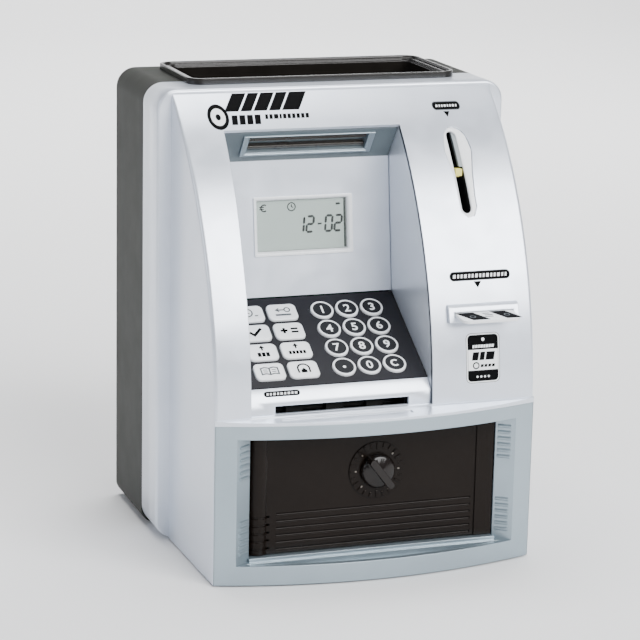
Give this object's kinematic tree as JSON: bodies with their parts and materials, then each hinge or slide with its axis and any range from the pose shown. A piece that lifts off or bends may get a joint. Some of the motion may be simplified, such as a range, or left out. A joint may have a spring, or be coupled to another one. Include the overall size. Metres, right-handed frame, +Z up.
{
  "type": "toy atm savings bank",
  "caption": "Toy cash machine money bank with keypad, screen, note feeder, coin slot, card slot, top tray and a hinged safe door with a dial.",
  "frame": {"origin": "centre of the footprint, on the surface that the feet stand on", "axes": "+Z up, -Y towards the user, +X to the user's right"},
  "size_m": [0.21, 0.1895, 0.2691],
  "materials": {
    "pearl_shell": "silver-white pearl paint on moulded ABS",
    "rear_grey": "fine moulded grain",
    "smoke_tray": "glossy dark smoke",
    "frame_silver": "blue-grey metallic paint, satin",
    "steel": "bright plated",
    "door_brown": "glossy dark brown",
    "inner_grey": "plain moulded",
    "lcd_window": "clear window",
    "lcd_grey": "grey-green liquid crystal",
    "keypad_charcoal": "dark satin plate",
    "rubber": "matte rubber",
    "circuit_board": "green board",
    "key_white": "white gloss",
    "lever_yellow": "yellow gloss",
    "card_white": "printed card",
    "dark_plastic": "moulded",
    "cell_jacket": "printed jacket",
    "spring_brass": "plated spring wire"
  },
  "bodies": {
    "case": {"front_shell": "pearl_shell", "rear_housing": "rear_grey", "top_tray": "smoke_tray", "safe_frame": "frame_silver", "hinge_pin": "steel", "money_box": "inner_grey", "screen_panel": "pearl_shell", "note_feeder_face": "pearl_shell", "dispenser_bezel": "inner_grey", "dispenser_flaps": "smoke_tray", "lcd_bezel": "pearl_shell", "lcd_lens": "lcd_window", "lcd_module": "lcd_grey", "keypad_plate": "keypad_charcoal", "key_mat": "rubber", "keypad_board": "circuit_board", "coin_bezel": "key_white", "coin_chute": "inner_grey", "card_bezel": "key_white", "card_switch": "dark_plastic", "feeder_frame": "dark_plastic", "feed_motor": "steel", "drive_belt": "rubber", "main_board": "circuit_board", "speaker": "dark_plastic", "battery_box": "dark_plastic", "batteries": "cell_jacket", "battery_springs": "spring_brass", "case_screws": "steel", "rubber_feet": "rubber"},
    "door": {"safe_door": "door_brown", "dial_plate": "door_brown"},
    "dial": {"dial_knob": "door_brown", "latch_tongue": "steel"},
    "lever": {"coin_lever": "lever_yellow"},
    "card": {"security_card": "card_white"},
    "cover": {"battery_cover": "rear_grey"},
    "motor_drive": {"motor_pulley": "key_white"},
    "feeder": {"feed_roller": "rubber"},
    "idler": {"pinch_roller": "inner_grey"},
    "key_dot_button": {"key_dot": "key_white"},
    "key_0_button": {"key_0": "key_white"},
    "key_clear_button": {"key_clear": "key_white"},
    "key_7_button": {"key_7": "key_white"},
    "key_8_button": {"key_8": "key_white"},
    "key_9_button": {"key_9": "key_white"},
    "key_4_button": {"key_4": "key_white"},
    "key_5_button": {"key_5": "key_white"},
    "key_6_button": {"key_6": "key_white"},
    "key_1_button": {"key_1": "key_white"},
    "key_2_button": {"key_2": "key_white"},
    "key_3_button": {"key_3": "key_white"},
    "key_book_button": {"key_book": "key_white"},
    "key_home_button": {"key_home": "key_white"},
    "key_day_button": {"key_day": "key_white"},
    "key_month_button": {"key_month": "key_white"},
    "key_set_button": {"key_set": "key_white"},
    "key_sum_button": {"key_sum": "key_white"},
    "key_clock_button": {"key_clock": "key_white"},
    "key_card_button": {"key_card": "key_white"}
  },
  "joints": [
    {"name": "door_hinge", "type": "hinge", "parent": "case", "child": "door", "pos_m": [-0.0669, -0.07075, 0.05], "axis": [0, 0, -1], "range_deg": [0, 100]},
    {"name": "dial_turn", "type": "hinge", "parent": "door", "child": "dial", "pos_m": [0.002, -0.07225, 0.059], "axis": [0, 1, 0], "range_deg": [0, 90]},
    {"name": "coin_lever_pivot", "type": "hinge", "parent": "case", "child": "lever", "pos_m": [0.0556, -0.02725, 0.224], "axis": [1, 0, 0], "range_deg": [0, 30], "stiffness_Nm_per_rad": 0.004, "springref_deg": -17.19},
    {"name": "card_slide", "type": "slide", "parent": "case", "child": "card", "axis": [0, -0.9936, -0.1132], "range_m": [0, 0.035]},
    {"name": "cover_release", "type": "slide", "parent": "case", "child": "cover", "axis": [0, 1, 0], "range_m": [0, 0.014]},
    {"name": "feeder_spin", "type": "hinge", "parent": "case", "child": "feeder", "pos_m": [0, -0.05625, 0.09305], "axis": [1, 0, 0], "continuous": true},
    {"name": "motor_spin", "type": "hinge", "parent": "case", "child": "motor_drive", "pos_m": [-0.062, -0.02425, 0.104], "axis": [1, 0, 0], "continuous": true},
    {"name": "idler_spin", "type": "hinge", "parent": "case", "child": "idler", "pos_m": [0, -0.05625, 0.10285], "axis": [1, 0, 0], "continuous": true},
    {"name": "key_dot_press", "type": "slide", "parent": "case", "child": "key_dot_button", "axis": [0, 0.5091, -0.8607], "range_m": [0, 0.001], "stiffness_N_per_m": 400, "springref_m": -0.001},
    {"name": "key_0_press", "type": "slide", "parent": "case", "child": "key_0_button", "axis": [0, 0.5091, -0.8607], "range_m": [0, 0.001], "stiffness_N_per_m": 400, "springref_m": -0.001},
    {"name": "key_clear_press", "type": "slide", "parent": "case", "child": "key_clear_button", "axis": [0, 0.5091, -0.8607], "range_m": [0, 0.001], "stiffness_N_per_m": 400, "springref_m": -0.001},
    {"name": "key_7_press", "type": "slide", "parent": "case", "child": "key_7_button", "axis": [0, 0.5091, -0.8607], "range_m": [0, 0.001], "stiffness_N_per_m": 400, "springref_m": -0.001},
    {"name": "key_8_press", "type": "slide", "parent": "case", "child": "key_8_button", "axis": [0, 0.5091, -0.8607], "range_m": [0, 0.001], "stiffness_N_per_m": 400, "springref_m": -0.001},
    {"name": "key_9_press", "type": "slide", "parent": "case", "child": "key_9_button", "axis": [0, 0.5091, -0.8607], "range_m": [0, 0.001], "stiffness_N_per_m": 400, "springref_m": -0.001},
    {"name": "key_4_press", "type": "slide", "parent": "case", "child": "key_4_button", "axis": [0, 0.5091, -0.8607], "range_m": [0, 0.001], "stiffness_N_per_m": 400, "springref_m": -0.001},
    {"name": "key_5_press", "type": "slide", "parent": "case", "child": "key_5_button", "axis": [0, 0.5091, -0.8607], "range_m": [0, 0.001], "stiffness_N_per_m": 400, "springref_m": -0.001},
    {"name": "key_6_press", "type": "slide", "parent": "case", "child": "key_6_button", "axis": [0, 0.5091, -0.8607], "range_m": [0, 0.001], "stiffness_N_per_m": 400, "springref_m": -0.001},
    {"name": "key_1_press", "type": "slide", "parent": "case", "child": "key_1_button", "axis": [0, 0.5091, -0.8607], "range_m": [0, 0.001], "stiffness_N_per_m": 400, "springref_m": -0.001},
    {"name": "key_2_press", "type": "slide", "parent": "case", "child": "key_2_button", "axis": [0, 0.5091, -0.8607], "range_m": [0, 0.001], "stiffness_N_per_m": 400, "springref_m": -0.001},
    {"name": "key_3_press", "type": "slide", "parent": "case", "child": "key_3_button", "axis": [0, 0.5091, -0.8607], "range_m": [0, 0.001], "stiffness_N_per_m": 400, "springref_m": -0.001},
    {"name": "key_book_press", "type": "slide", "parent": "case", "child": "key_book_button", "axis": [0, 0.5091, -0.8607], "range_m": [0, 0.001], "stiffness_N_per_m": 400, "springref_m": -0.001},
    {"name": "key_home_press", "type": "slide", "parent": "case", "child": "key_home_button", "axis": [0, 0.5091, -0.8607], "range_m": [0, 0.001], "stiffness_N_per_m": 400, "springref_m": -0.001},
    {"name": "key_day_press", "type": "slide", "parent": "case", "child": "key_day_button", "axis": [0, 0.5091, -0.8607], "range_m": [0, 0.001], "stiffness_N_per_m": 400, "springref_m": -0.001},
    {"name": "key_month_press", "type": "slide", "parent": "case", "child": "key_month_button", "axis": [0, 0.5091, -0.8607], "range_m": [0, 0.001], "stiffness_N_per_m": 400, "springref_m": -0.001},
    {"name": "key_set_press", "type": "slide", "parent": "case", "child": "key_set_button", "axis": [0, 0.5091, -0.8607], "range_m": [0, 0.001], "stiffness_N_per_m": 400, "springref_m": -0.001},
    {"name": "key_sum_press", "type": "slide", "parent": "case", "child": "key_sum_button", "axis": [0, 0.5091, -0.8607], "range_m": [0, 0.001], "stiffness_N_per_m": 400, "springref_m": -0.001},
    {"name": "key_clock_press", "type": "slide", "parent": "case", "child": "key_clock_button", "axis": [0, 0.5091, -0.8607], "range_m": [0, 0.001], "stiffness_N_per_m": 400, "springref_m": -0.001},
    {"name": "key_card_press", "type": "slide", "parent": "case", "child": "key_card_button", "axis": [0, 0.5091, -0.8607], "range_m": [0, 0.001], "stiffness_N_per_m": 400, "springref_m": -0.001}
  ],
  "couplings": [
    {"joint": "motor_spin", "follows": "feeder_spin", "ratio": 1.3947},
    {"joint": "idler_spin", "follows": "feeder_spin", "ratio": -1.35}
  ]
}
